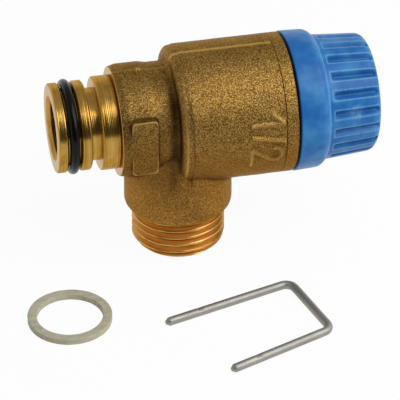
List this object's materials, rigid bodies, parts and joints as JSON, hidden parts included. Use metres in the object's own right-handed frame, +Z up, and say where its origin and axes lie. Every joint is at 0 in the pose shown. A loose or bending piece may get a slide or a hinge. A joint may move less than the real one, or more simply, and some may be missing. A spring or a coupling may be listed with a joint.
{
  "type": "pressure relief valve",
  "caption": "Angle pressure relief valve with an O-ring clip-in spigot, a threaded outlet and a turn-to-vent knob, with its loose fibre washer and wire clip.",
  "frame": {"origin": "centre of the outlet's foot, where the valve stands", "axes": "+Z up, along the outlet; +X along the main axis, from the inlet spigot to the knob"},
  "size_m": [0.0825, 0.0691, 0.0481],
  "materials": {
    "forged_brass": "sandblasted hot stamping, with turned faces",
    "turned_brass": "turned",
    "black_rubber": "moulded, satin",
    "steel": "plated",
    "spring_wire": "drawn wire, satin",
    "blue_plastic": "moulded, satin",
    "vulcanised_fibre": "pressed fibre, matt"
  },
  "bodies": {
    "valve": {"valve_body": "forged_brass", "inlet_o_ring": "black_rubber", "bonnet": "forged_brass", "slip_ring": "turned_brass", "diaphragm": "black_rubber", "spring": "steel", "spring_adjuster": "turned_brass"},
    "stem_group": {"stem": "turned_brass", "disc_holder": "turned_brass", "seat_disc": "black_rubber", "seat_disc_washer": "steel", "seat_disc_screw": "steel", "backing_washer": "turned_brass", "spring_plate": "turned_brass", "knob_washer": "steel", "stem_nut": "turned_brass"},
    "knob_group": {"knob": "blue_plastic", "knob_cap": "blue_plastic"},
    "loose_washer": {"fibre_washer": "vulcanised_fibre"},
    "loose_clip": {"retaining_clip": "spring_wire"}
  },
  "joints": [
    {"name": "stem_lift", "type": "slide", "parent": "valve", "child": "stem_group", "axis": [1, 0, 0], "range_m": [0, 0.0015], "deforming": ["spring", "diaphragm"]},
    {"name": "knob_turn", "type": "hinge", "parent": "stem_group", "child": "knob_group", "pos_m": [0.034, 0, 0.0324], "axis": [1, 0, 0], "range_deg": [0, 60]},
    {"name": "washer_lift", "type": "slide", "parent": "valve", "child": "loose_washer", "axis": [0, 0, 1], "range_m": [0, 0.04]},
    {"name": "clip_lift", "type": "slide", "parent": "valve", "child": "loose_clip", "axis": [0, 0, 1], "range_m": [0, 0.04]}
  ],
  "couplings": [
    {"joint": "knob_turn", "follows": "stem_lift", "rad_per_m": 698}
  ]
}
